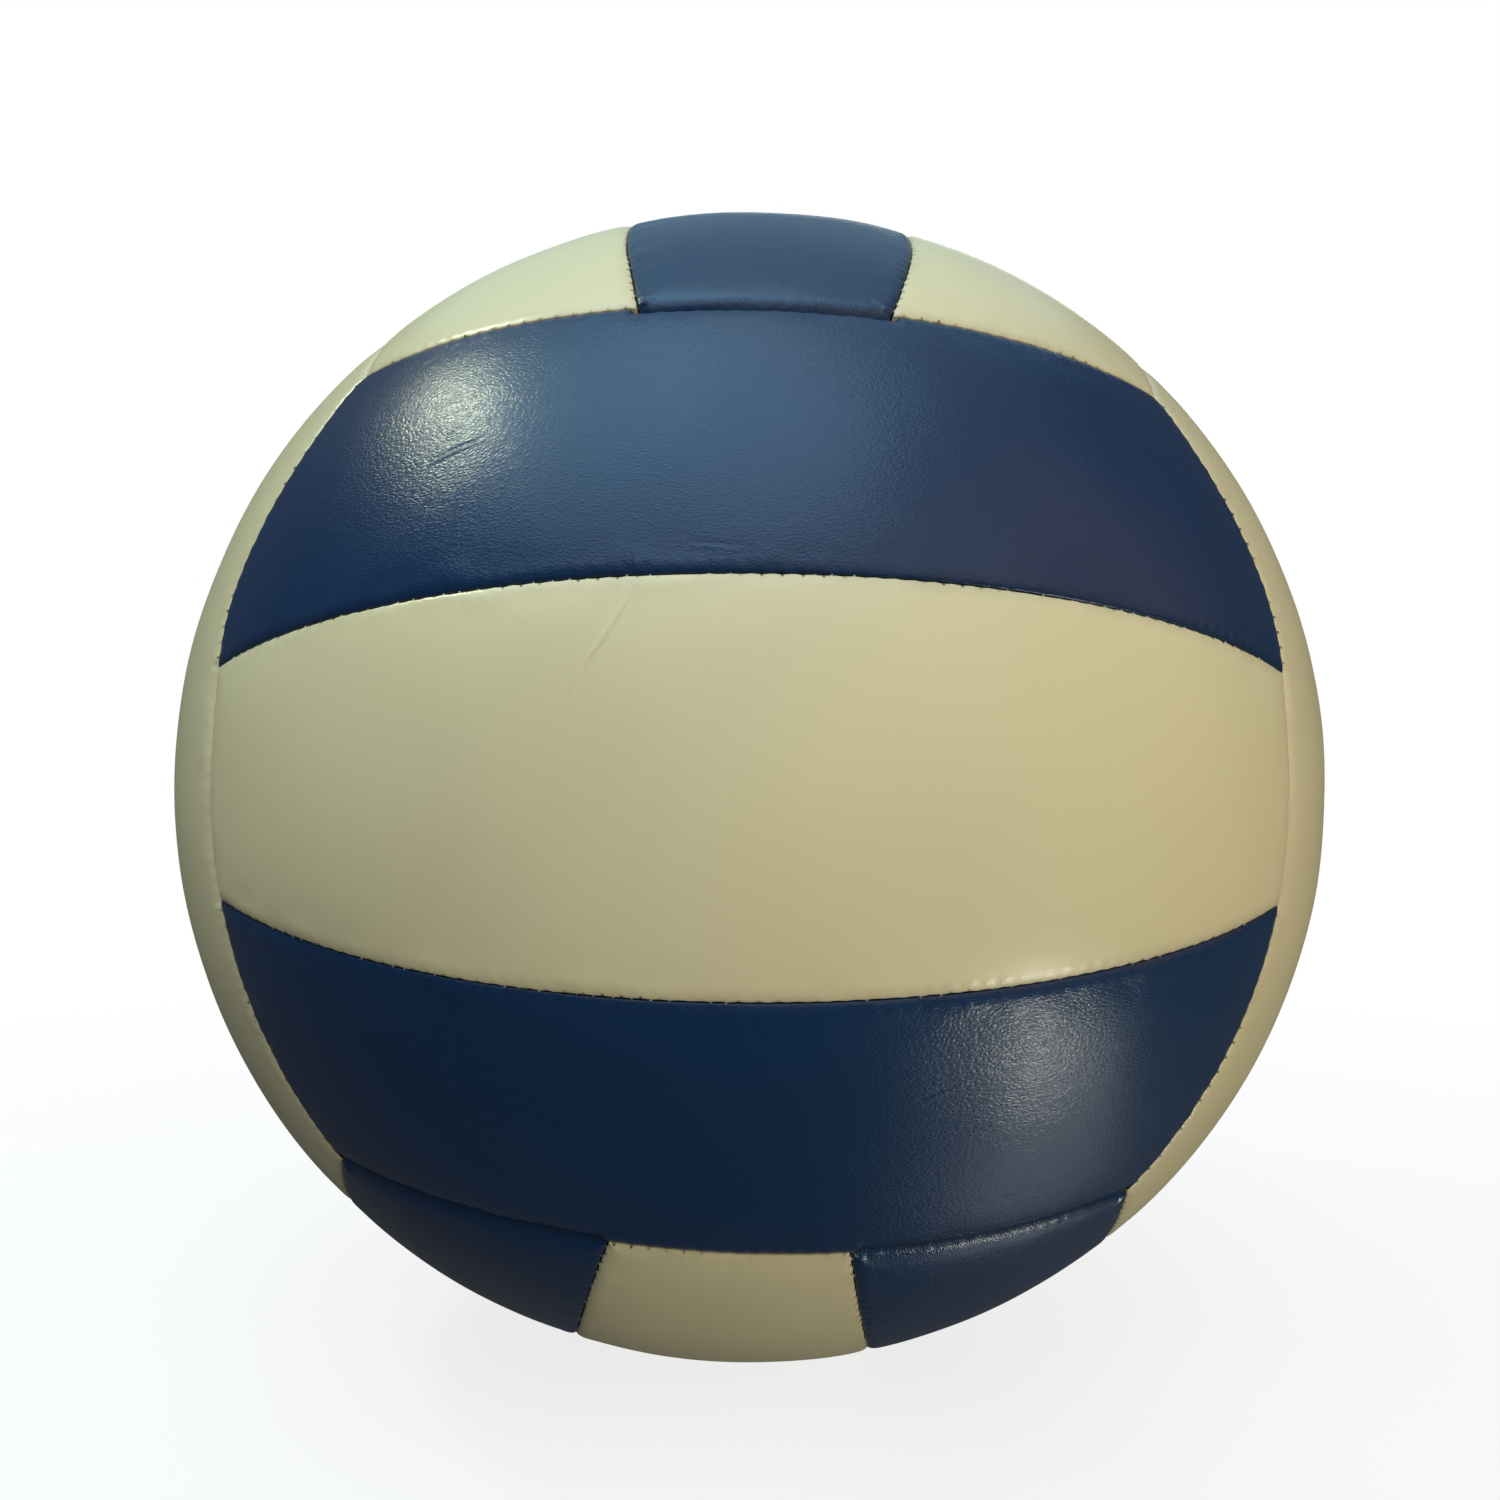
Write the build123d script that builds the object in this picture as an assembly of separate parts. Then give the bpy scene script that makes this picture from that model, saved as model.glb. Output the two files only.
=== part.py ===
from build123d import *
from math import acos, atan2, cos, degrees, hypot, radians, sin, sqrt, tan
import os

# An eighteen-panel stitched volleyball: six faces of three strips each, over a bladder with a needle valve.
# Millimetres, +Z up, origin at the ball's centre. The front face looks along -Y and its strips run along X.
# The strips of neighbouring faces run square to each other. The valve is in the middle of the back face.

# Ball and cover
BALL_DIAMETER = 210.0
COVER_THICKNESS = 0.9
FOAM_THICKNESS = 2.6
GLUE_LINE = 0.1

# Seams: how the panels turn down into them, and where they run on the ball
EDGE_ROUND = 2.6
SMALLEST_ROUND = 0.2
EDGE_ROUND_SHARE = 0.8
STRIP_SEAM_ANGLE = 14.6
LONG_EDGE_ANGLE = 38.7

# Seam thread
THREAD_DIAMETER = 0.4
THREAD_CLEARANCE = 0.06

# Bladder
BLADDER_WALL = 0.7
BLADDER_CLEARANCE = 0.2

# Valve body, a rubber moulding bonded over a hole in the bladder
VALVE_NIPPLE_DIAMETER = 8.0
VALVE_HOLE_CLEARANCE = 0.3
VALVE_RECESS = 0.6
VALVE_NIPPLE_ROUND = 0.5
VALVE_FLANGE_DIAMETER = 26.0
VALVE_FLANGE_THICKNESS = 2.0
VALVE_STEM_DIAMETER = 11.0
VALVE_STEM_LENGTH = 10.0
VALVE_STEM_ROUND = 1.5
BLADDER_HOLE_CLEARANCE = 0.1

# Valve plug, pressed into the valve body and held there by a rib
PLUG_DIAMETER = 5.0
PLUG_CLEARANCE = 0.05
PLUG_RIB_HEIGHT = 0.7
PLUG_RIB_WIDTH = 2.4
PLUG_RIB_ROUND = 0.5
PLUG_TAIL = 1.0
NEEDLE_HOLE_DIAMETER = 2.0
NEEDLE_HOLE_DEPTH = 11.0
NEEDLE_FUNNEL_DIAMETER = 3.2
NEEDLE_FUNNEL_DEPTH = 0.6
SLIT_WIDTH = 1.6
SLIT_OPENING = 0.1

# Cloth washer glued behind the cover round the valve hole
PATCH_DIAMETER = 20.0
PATCH_THICKNESS = 0.5
POCKET_CLEARANCE = 0.5

# How far a cutting shape runs past what it cuts
CUT_OVERRUN = 5.0

ball_radius = BALL_DIAMETER / 2
panel_depth = COVER_THICKNESS + GLUE_LINE + FOAM_THICKNESS
panel_inner_radius = ball_radius - panel_depth
edge_round = min(EDGE_ROUND, EDGE_ROUND_SHARE * panel_depth)
seam_gap = THREAD_DIAMETER + 2 * THREAD_CLEARANCE
cover_inner_radius = ball_radius - COVER_THICKNESS
bladder_radius = panel_inner_radius - BLADDER_CLEARANCE

# Heights along the valve, measured from the ball's centre
valve_face = ball_radius - VALVE_RECESS
flange_under = bladder_radius + GLUE_LINE
flange_top = flange_under + VALVE_FLANGE_THICKNESS
stem_end = bladder_radius - VALVE_STEM_LENGTH
rib_middle = (stem_end + bladder_radius) / 2
valve_hole_diameter = VALVE_NIPPLE_DIAMETER + 2 * VALVE_HOLE_CLEARANCE

# Seam circles of one face, worked out on a ball of radius 1. A long edge crosses the face's middle line at
# LONG_EDGE_ANGLE and ends at the two corners where three faces meet, so it is part of a circle about a pole.
strip_angle = radians(STRIP_SEAM_ANGLE)
edge_angle = radians(LONG_EDGE_ANGLE)
CORNER_SHARE = 1 / sqrt(3)
edge_run = cos(edge_angle) - CORNER_SHARE
edge_rise = sin(edge_angle) - CORNER_SHARE
pole_tilt = atan2(edge_rise, edge_run)
pole_angle = acos(sin(edge_angle - pole_tilt))

# Each seam circle's pole, and the direction square to it that points away from the panels it bounds
upper_pole = Vector(0, sin(pole_tilt), cos(pole_tilt))
upper_away = Vector(0, cos(pole_tilt), -sin(pole_tilt))
lower_pole = Vector(0, sin(pole_tilt), -cos(pole_tilt))
lower_away = Vector(0, cos(pole_tilt), sin(pole_tilt))
left_end_pole = Vector(sin(pole_tilt), -cos(pole_tilt), 0)
left_end_away = Vector(cos(pole_tilt), sin(pole_tilt), 0)
right_end_pole = Vector(-sin(pole_tilt), -cos(pole_tilt), 0)
right_end_away = Vector(-cos(pole_tilt), sin(pole_tilt), 0)


def seam_cone(pole, away, outward, reach):
    """Solid cone under a seam circle, its wall moved outward from the seam and its joining line kept away."""
    apex = pole * (-outward / sin(pole_angle))
    return Solid.make_cone(0, reach * tan(pole_angle), reach, Plane(origin=apex, x_dir=away, z_dir=pole))


def strip_plane(side, outward):
    """Plane of the seam above (side 1) or below (side -1) the middle strip, moved away from that strip."""
    normal = (0, sin(strip_angle), side * cos(strip_angle))
    return Plane(origin=(0, 0, 0), x_dir=(1, 0, 0), z_dir=normal).offset(outward)


def strip_block(strip, inset, outer_radius, inner_radius):
    """One strip of the front face as a thick piece of shell, its walls inset from the seams, its rim rounded."""
    reach = outer_radius + CUT_OVERRUN
    block = Sphere(outer_radius) - Sphere(inner_radius)
    if strip == "centre":
        for side in (1, -1):
            block = split(block, strip_plane(side, -inset), keep=Keep.BOTTOM)
    elif strip == "upper":
        block = split(block, strip_plane(1, inset), keep=Keep.TOP)
        block = block - seam_cone(upper_pole, upper_away, inset, reach)
    else:
        block = split(block, strip_plane(-1, inset), keep=Keep.TOP)
        block = block - seam_cone(lower_pole, lower_away, inset, reach)
    block = block & seam_cone(left_end_pole, left_end_away, -inset, reach)
    block = (block & seam_cone(right_end_pole, right_end_away, -inset, reach)).solid()
    rim_round = max(edge_round - (inset - seam_gap / 2), SMALLEST_ROUND)
    outer_face = max(block.faces().filter_by(GeomType.SPHERE), key=lambda face: face.area)
    return block.fillet(rim_round, outer_face.edges())


def cover_panel(strip):
    """Synthetic-leather skin of one strip: a dish whose turned-in rim is the seam allowance."""
    inset = seam_gap / 2
    outside = strip_block(strip, inset, ball_radius, panel_inner_radius)
    hollow = strip_block(strip, inset + COVER_THICKNESS, cover_inner_radius, panel_inner_radius - CUT_OVERRUN)
    return (outside - hollow).solid()


def foam_pad(strip):
    """Foam layer that fills the dish of one cover panel."""
    inset = seam_gap / 2 + COVER_THICKNESS + GLUE_LINE
    return strip_block(strip, inset, cover_inner_radius - GLUE_LINE, panel_inner_radius)


def thread_arc(pole, along, height, radius, half_angle):
    """Thread round a pole: part of a ring at that height, as far each way from the direction along."""
    start = along.rotate(Axis((0, 0, 0), pole), -degrees(half_angle))
    ring = Plane(origin=pole * height, x_dir=start, z_dir=pole)
    return Solid.make_torus(radius, THREAD_DIAMETER / 2, ring, major_angle=2 * degrees(half_angle))


def seam_threads():
    """The four threads that belong to the front face: two between its strips, two along its long edges."""
    thread_radius = ball_radius - (edge_round + panel_depth) / 2
    end_gap = (seam_gap + THREAD_DIAMETER) / thread_radius
    across = cos(pole_tilt) * cos(strip_angle)
    strip_half = acos(cos(pole_angle) / hypot(across, sin(pole_tilt))) - atan2(sin(pole_tilt), across)
    edge_half = atan2(CORNER_SHARE, CORNER_SHARE * (cos(pole_tilt) + sin(pole_tilt)))
    threads = []
    for side, pole in ((1, upper_pole), (-1, lower_pole)):
        strip_normal = Vector(0, sin(strip_angle), side * cos(strip_angle))
        strip_middle = Vector(0, -cos(strip_angle), side * sin(strip_angle))
        threads.append(thread_arc(strip_normal, strip_middle, 0, thread_radius, strip_half - end_gap))
        edge_middle = Vector(0, -cos(pole_tilt), side * sin(pole_tilt))
        edge_radius = thread_radius * sin(pole_angle)
        edge_height = thread_radius * cos(pole_angle)
        edge_trim = end_gap / sin(pole_angle)
        threads.append(thread_arc(pole, edge_middle, edge_height, edge_radius, edge_half - edge_trim))
    return threads


def rod(diameter, low, high):
    """Cylinder along +Z between two heights."""
    bottom = (Align.CENTER, Align.CENTER, Align.MIN)
    return Pos(0, 0, low) * Cylinder(diameter / 2, high - low, align=bottom)


def domed_disc(diameter, inner_radius, outer_radius):
    """Round piece of a spherical shell, about +Z."""
    return (Sphere(outer_radius) - Sphere(inner_radius)) & rod(diameter, 0, outer_radius + CUT_OVERRUN)


def out_of_back(shape):
    """Turns a shape that is built along +Z to point out of the back face, along +Y."""
    return shape.rotate(Axis.X, -90)


def bladder():
    """Air-tight rubber sphere with a hole for the valve's stem."""
    hole = rod(VALVE_STEM_DIAMETER + 2 * BLADDER_HOLE_CLEARANCE, stem_end, ball_radius)
    return out_of_back(Sphere(bladder_radius) - Sphere(bladder_radius - BLADDER_WALL) - hole)


def valve_body():
    """Rubber moulding: a flange on the bladder, a stem inside it and a nipple in the cover's hole."""
    flange_middle = (flange_under + flange_top) / 2
    stem = rod(VALVE_STEM_DIAMETER, stem_end, flange_middle)
    stem = fillet(stem.edges().sort_by(Axis.Z)[0], VALVE_STEM_ROUND)
    nipple = rod(VALVE_NIPPLE_DIAMETER, flange_middle, valve_face)
    nipple = fillet(nipple.edges().sort_by(Axis.Z)[-1], VALVE_NIPPLE_ROUND)
    body = domed_disc(VALVE_FLANGE_DIAMETER, flange_under, flange_top) + stem + nipple
    bore = rod(PLUG_DIAMETER + 2 * PLUG_CLEARANCE, stem_end - CUT_OVERRUN, valve_face + CUT_OVERRUN)
    groove_diameter = PLUG_DIAMETER + 2 * (PLUG_RIB_HEIGHT + PLUG_CLEARANCE)
    groove_reach = PLUG_RIB_WIDTH / 2 + PLUG_CLEARANCE
    groove = rod(groove_diameter, rib_middle - groove_reach, rib_middle + groove_reach)
    return out_of_back(body - bore - groove)


def valve_plug():
    """Self-sealing plug: a guide hole for the needle, closed at its inner end but for a slit."""
    rib_reach = PLUG_RIB_WIDTH / 2
    rib = rod(PLUG_DIAMETER + 2 * PLUG_RIB_HEIGHT, rib_middle - rib_reach, rib_middle + rib_reach)
    rib = fillet(rib.edges().filter_by(GeomType.CIRCLE), PLUG_RIB_ROUND)
    plug = rod(PLUG_DIAMETER, stem_end - PLUG_TAIL, valve_face) + rib
    hole = rod(NEEDLE_HOLE_DIAMETER, valve_face - NEEDLE_HOLE_DEPTH, valve_face + CUT_OVERRUN)
    funnel_middle = valve_face - NEEDLE_FUNNEL_DEPTH / 2
    funnel = Cone(NEEDLE_HOLE_DIAMETER / 2, NEEDLE_FUNNEL_DIAMETER / 2, NEEDLE_FUNNEL_DEPTH)
    slit = Pos(0, 0, stem_end) * Box(SLIT_WIDTH, SLIT_OPENING, 2 * NEEDLE_HOLE_DEPTH)
    slit = slit & rod(PLUG_DIAMETER, stem_end - CUT_OVERRUN, valve_face - NEEDLE_HOLE_DEPTH / 2)
    return out_of_back(plug - hole - Pos(0, 0, funnel_middle) * funnel - slit)


def valve_patch():
    """Cloth washer that keeps the valve hole from tearing."""
    outer_radius = cover_inner_radius - GLUE_LINE
    hole = rod(valve_hole_diameter, 0, ball_radius)
    return out_of_back(domed_disc(PATCH_DIAMETER, outer_radius - PATCH_THICKNESS, outer_radius) - hole)


def back_hole(diameter):
    """Cutter for the valve's way through the back face."""
    return out_of_back(rod(diameter, stem_end, ball_radius + CUT_OVERRUN))


# Each face: its name, the turn that brings the front face there, and where its three strips then lie
FACES = (
    ("front", (0, 0, 1), 0, ("upper", "centre", "lower")),
    ("back", (0, 0, 1), 180, ("upper", "centre", "lower")),
    ("right", (1, -1, 1), 120, ("front", "centre", "rear")),
    ("left", (-1, -1, 1), -120, ("front", "centre", "rear")),
    ("top", (1, -1, 1), -120, ("right", "centre", "left")),
    ("bottom", (1, -1, -1), 120, ("left", "centre", "right")),
)
STRIPS = ("upper", "centre", "lower")


def ball_pieces():
    """Every piece of the ball by its name."""
    covers = {strip: cover_panel(strip) for strip in STRIPS}
    foams = {strip: foam_pad(strip) for strip in STRIPS}
    threads = seam_threads()
    pieces = {}
    for face, axis, angle, places in FACES:
        turn = Axis((0, 0, 0), axis)
        for strip, place in zip(STRIPS, places):
            pieces[f"{face}_{place}_panel"] = covers[strip].rotate(turn, angle)
            pieces[f"{face}_{place}_foam"] = foams[strip].rotate(turn, angle)
        pieces[f"{face}_seam_thread"] = Compound([thread.rotate(turn, angle) for thread in threads])
    pocket_diameter = max(VALVE_FLANGE_DIAMETER, PATCH_DIAMETER) + 2 * POCKET_CLEARANCE
    pieces["back_centre_panel"] -= back_hole(valve_hole_diameter)
    pieces["back_centre_foam"] -= back_hole(pocket_diameter)
    pieces["bladder"] = bladder()
    pieces["valve_body"] = valve_body()
    pieces["valve_plug"] = valve_plug()
    pieces["valve_patch"] = valve_patch()
    return pieces


os.makedirs("parts", exist_ok=True)
for name, piece in ball_pieces().items():
    piece.label = name
    export_step(piece, f"parts/{name}.step")
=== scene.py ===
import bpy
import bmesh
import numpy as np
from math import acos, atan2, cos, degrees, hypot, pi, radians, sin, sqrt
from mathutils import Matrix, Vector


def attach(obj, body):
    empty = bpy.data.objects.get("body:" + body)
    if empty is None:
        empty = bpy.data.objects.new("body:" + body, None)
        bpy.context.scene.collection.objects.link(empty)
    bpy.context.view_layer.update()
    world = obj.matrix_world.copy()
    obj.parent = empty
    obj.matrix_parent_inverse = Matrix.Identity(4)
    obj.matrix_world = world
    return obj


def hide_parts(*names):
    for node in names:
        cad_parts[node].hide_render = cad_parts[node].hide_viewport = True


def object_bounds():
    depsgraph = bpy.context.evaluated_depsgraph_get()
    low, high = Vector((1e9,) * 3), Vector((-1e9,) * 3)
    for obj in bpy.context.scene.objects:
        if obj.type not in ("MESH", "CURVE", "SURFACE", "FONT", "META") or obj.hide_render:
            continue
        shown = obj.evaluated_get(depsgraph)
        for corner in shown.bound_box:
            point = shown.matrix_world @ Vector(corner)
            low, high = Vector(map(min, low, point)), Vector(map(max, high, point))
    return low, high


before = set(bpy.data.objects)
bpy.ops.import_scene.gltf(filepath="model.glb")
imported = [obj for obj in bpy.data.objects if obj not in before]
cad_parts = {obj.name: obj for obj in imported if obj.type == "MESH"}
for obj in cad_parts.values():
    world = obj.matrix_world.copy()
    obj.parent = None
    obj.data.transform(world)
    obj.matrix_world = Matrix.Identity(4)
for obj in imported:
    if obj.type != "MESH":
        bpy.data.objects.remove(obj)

# %% [markdown]
# A stitched volleyball in blue and cream. The CAD model gives the ball's size, the seam layout and the
# inner pieces. Here the eighteen cover panels and the stitching are made again as what they are: padded
# synthetic leather that rounds down into sewn seams. A sphere with painted seams would be quicker, but
# light wouldn't catch on its edges. So every panel is a mesh of its own, worked out on the ball's sphere
# in millimetres.

# %% Names, sizes and the seam circles
from types import SimpleNamespace

cad_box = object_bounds()
BALL_RADIUS = 105.0
MM = 0.001
STRIP_SEAM = radians(14.6)       # seams between the strips of one face
LONG_EDGE = radians(38.7)        # where a face's long edge crosses its middle line
CORNER = 1 / sqrt(3)             # each coordinate of the point where three faces meet
pole_tilt = atan2(sin(LONG_EDGE) - CORNER, cos(LONG_EDGE) - CORNER)
pole_angle = acos(sin(LONG_EDGE - pole_tilt))
print(f"seam circle: pole tilted {degrees(pole_tilt):.2f} deg, radius {degrees(pole_angle):.2f} deg")

# Each face is the front face turned about an axis. The names are those of the strips that the front's upper,
# middle and lower strip become.
FACES = {
    "front": ((0, 0, 1), 0, ("upper", "centre", "lower")),
    "back": ((0, 0, 1), 180, ("upper", "centre", "lower")),
    "right": ((1, -1, 1), 120, ("front", "centre", "rear")),
    "left": ((-1, -1, 1), -120, ("front", "centre", "rear")),
    "top": ((1, -1, 1), -120, ("right", "centre", "left")),
    "bottom": ((1, -1, -1), 120, ("left", "centre", "right")),
}
BLUE_PANELS = {"front_upper", "front_lower", "back_upper", "back_lower", "left_centre", "right_centre",
               "top_centre", "bottom_left", "bottom_right"}


def face_turn(face):
    axis, angle, places = FACES[face]
    return Matrix.Rotation(radians(angle), 3, Vector(axis).normalized())


# %% [markdown]
# The photo was taken from close by, 280 mm from the ball's centre, which is why only a little of the side
# faces shows. A camera further off would show more of them. The distance and the slight roll were fitted
# to seam points in the photo, and the camera looks a little above the centre.

# %% Camera
CAMERA_DISTANCE = 2.662 * BALL_RADIUS * MM
ROLL = radians(0.3)
LOOK_UP = radians(1.288)
camera_data = bpy.data.cameras.new("camera")
camera_data.sensor_width = 36
camera_data.lens = 34.05
camera_data.clip_start = 0.01
camera = bpy.data.objects.new("camera", camera_data)
bpy.context.scene.collection.objects.link(camera)
roll_matrix = Matrix.Rotation(-ROLL, 3, "Y")
forward = roll_matrix @ Vector((0, cos(LOOK_UP), sin(LOOK_UP)))
right = roll_matrix @ Vector((1, 0, 0))
up = right.cross(forward)
camera_axes = Matrix((right, up, -forward)).transposed()
camera.matrix_world = Matrix.Translation((0, -CAMERA_DISTANCE, 0)) @ camera_axes.to_4x4()
bpy.context.scene.camera = camera
print("camera looks along", tuple(round(c, 3) for c in forward))

# %% [markdown]
# A sewn ball isn't as regular as its pattern. On this one the upper panel in front reaches further round
# to both sides, its outer seam lies higher, the lower seam of the middle strip lies lower, and the strips
# above and below are turned by about 2 degrees. Each seam could be moved by itself, but then panels and
# stitches would come apart. So one smooth map of the sphere moves both alike and spares the back.

# %% Sewn, not drawn
UPPER_REACH = radians(2.7)
CORNER_REACH = radians(2.2)
REACH_WAVE = 1.25
UPPER_RISE = radians(1.6)
MIDDLE_SAG = radians(0.8)
SAG_WIDTH = radians(11)
TURN_ABOVE = radians(1.7)
TURN_BELOW = radians(2.6)
# Where each of these starts and where it is complete, by a coordinate on the unit ball or by an angle
FRONT_HALF = (-0.2, 0.35)
TURN_HEIGHT = (0.2, 0.75)
REACH_HEIGHT = (0.05, 0.3)
CORNER_HEIGHT = (0.45, 0.62)
REACH_TOP = (0.75, 0.95)
REACH_SIDE = (radians(52), radians(84))
RISE_START = (radians(18), radians(36))
RISE_END = (radians(55), radians(85))


def ease(value, start, end):
    t = np.clip((value - start) / (end - start), 0, 1)
    return t * t * (3 - 2 * t)


def sewn(points):
    """Unit vectors of the regular pattern to where the seams of this ball lie."""
    x, y, z = points.T
    in_front = ease(-y, *FRONT_HALF)
    turn = np.where(z > 0, TURN_ABOVE, TURN_BELOW) * ease(np.abs(z), *TURN_HEIGHT) * in_front
    x, z = x * np.cos(turn) + z * np.sin(turn), z * np.cos(turn) - x * np.sin(turn)
    round_z = np.arctan2(x, -y)
    reach = UPPER_REACH * ease(z, *REACH_HEIGHT) + CORNER_REACH * ease(z, *CORNER_HEIGHT)
    reach = reach * (1 - ease(z, *REACH_TOP)) * np.sin(np.clip(REACH_WAVE * np.abs(round_z), 0, pi))
    reach = reach * (1 - ease(np.abs(round_z), *REACH_SIDE))
    round_z = round_z + np.sign(round_z) * reach
    height = np.arcsin(np.clip(z, -1, 1))
    rise = UPPER_RISE * ease(height, *RISE_START) * (1 - ease(height, *RISE_END))
    sag = MIDDLE_SAG * np.exp(-((height + STRIP_SEAM) / SAG_WIDTH) ** 2)
    height = height + (rise - sag) * in_front
    wide = np.cos(height)
    return np.stack((np.sin(round_z) * wide, -np.cos(round_z) * wide, np.sin(height)), axis=1)


corner = np.array([[CORNER, -CORNER, CORNER]])
print(f"an upper corner moves by {np.linalg.norm(sewn(corner) - corner) * BALL_RADIUS:.1f} mm")

# %% [markdown]
# Padded panels aren't perfectly even. The foam behind the skin makes slow swells, which break up the
# highlights and by the look of them are about a tenth of a millimetre. The thread puckers the skin beside
# a seam. A texture could stand in for them, but a sum of a few seeded waves through space moves the mesh
# itself and shows no pattern.

# %% Uneven foam
def wave_field(seed, count, shortest, longest):
    """Smooth noise of points: (n, 3) array in millimetres to (n,) values of about -1 to 1."""
    rng = np.random.default_rng(seed)
    directions = rng.normal(size=(count, 3))
    directions /= np.linalg.norm(directions, axis=1)[:, None]
    waves = directions * (2 * pi / rng.uniform(shortest, longest, count))[:, None]
    phases = rng.uniform(0, 2 * pi, count)
    return lambda points: np.sin(points @ waves.T + phases).sum(axis=1) / sqrt(count)


foam_swell = wave_field(1, 28, 16, 46)
seam_pucker = wave_field(2, 24, 5, 9)
print("swell in the middle of the front:", foam_swell(np.array([[0, -BALL_RADIUS, 0]])).round(2))

# %% [markdown]
# At a seam the real cover turns down in a soft shoulder, goes down a short wall and is turned in to be
# sewn. A bevel could round the edge, but not in the flat oval of a padded one. So the rim is a list of
# mesh rows, each with its distance from the seam and its depth. They crowd together where the skin turns
# down.

# %% The rim of a cover
# All lengths are in millimetres
SEAM_HALF = 0.11                 # half of the open gap between two panels
SHOULDER_WIDTH = 1.9             # the skin turns down into the seam in a flat quarter oval
SHOULDER_ROWS = 12
CREAM_DROP = 0.38
BLUE_DROP = 0.52
WALL_DEPTH = 3.3
TURNED_IN = 1.6                  # the wall's lower edge is turned in by this much and lies a little deeper
TURNED_IN_DROP = 0.15
FIELD_ROWS = (2.5, 3.1, 3.7, 4.4, 5.2, 6.2, 7.4, 8.6, 10.0)


def cover_rim(drop):
    """Distance from the seam and depth below the ball, from the turned-in edge to where the field starts."""
    wall = [(TURNED_IN, WALL_DEPTH + TURNED_IN_DROP), (SEAM_HALF, WALL_DEPTH), (SEAM_HALF, WALL_DEPTH / 2)]
    shoulder = []
    for k in range(SHOULDER_ROWS):
        turn = pi / 2 * k / (SHOULDER_ROWS - 1)
        shoulder.append((SEAM_HALF + SHOULDER_WIDTH * (1 - cos(turn)), drop * (1 - sin(turn))))
    return wall + shoulder + [(distance, 0.0) for distance in FIELD_ROWS]


print(len(cover_rim(CREAM_DROP)), "rows from a panel's turned-in edge to its field")

# %% [markdown]
# A strip of the front face is laid out by two angles: along, from the middle towards the ends, and
# across, about the X axis. Both of its side seams and its two ends are known circles, so a row or column
# of the mesh can be set at an exact distance from its own seam. A sphere cut along the seams couldn't do
# that. The limits of each angle depend on the other one, so the two are worked out in turn until they
# settle.

# %% Rows and columns of a panel
OUTER_STRIP = radians(26)        # an angle across that lies well inside an outer strip
SETTLE_ROUNDS = 14


def lines_across(length, rim, step):
    """Mesh lines from side to side of a panel: share of the way, distance from the seam and depth."""
    field = rim[-1][0]
    inner = max(2, round((length - 2 * field) / step))
    share = [0.0] * len(rim) + [k / inner for k in range(1, inner)] + [1.0] * len(rim)
    inset = [r[0] for r in rim] + [field] * (inner - 1) + [r[0] for r in reversed(rim)]
    depth = [r[1] for r in rim] + [rim[-1][1]] * (inner - 1) + [r[1] for r in reversed(rim)]
    return np.array(share), np.array(inset), np.array(depth)


def end_angle(across, inset):
    """Angle along the strip at which its right end lies, for mesh points at that angle across."""
    a, b = sin(pole_tilt), cos(pole_tilt) * np.cos(across)
    ratio = np.cos(pole_angle - inset / BALL_RADIUS) / np.hypot(a, b)
    return np.arccos(np.clip(ratio, -1, 1)) - np.arctan2(a, b)


def side_angles(strip, along, inset):
    """Angles across the strip at which its lower and upper seams lie."""
    step = np.arcsin(np.sin(inset / BALL_RADIUS) / np.cos(along))
    if strip == "centre":
        return -STRIP_SEAM + step, STRIP_SEAM - step
    reach = np.cos(pole_angle + inset / BALL_RADIUS) / np.cos(along)
    return STRIP_SEAM + step, pole_tilt + np.arcsin(np.clip(reach, -1, 1))


def lay_out(strip, columns, rows):
    """Angles along and across for every mesh point, found by letting the two settle against each other."""
    share_u, inset_u = columns[0][:, None], columns[1][:, None]
    share_v, inset_v = rows[0][None, :], rows[1][None, :]
    across = np.zeros((len(columns[0]), len(rows[0]))) + (0 if strip == "centre" else OUTER_STRIP)
    for _ in range(SETTLE_ROUNDS):
        end = end_angle(across, inset_u)
        along = end * (2 * share_u - 1)
        low, high = side_angles(strip, along, inset_v)
        across = low + (high - low) * share_v
    return along, across


print(f"the middle strip ends {degrees(float(end_angle(np.array(0.0), 0.0))):.1f} deg from its middle")

# %% [markdown]
# A panel's skin has to know its seams: how far off they are, which stitch is near and what colour lies on
# the other side. Painted weights could say so, but the seams are circles, so plain geometry gives it
# exactly.

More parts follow.
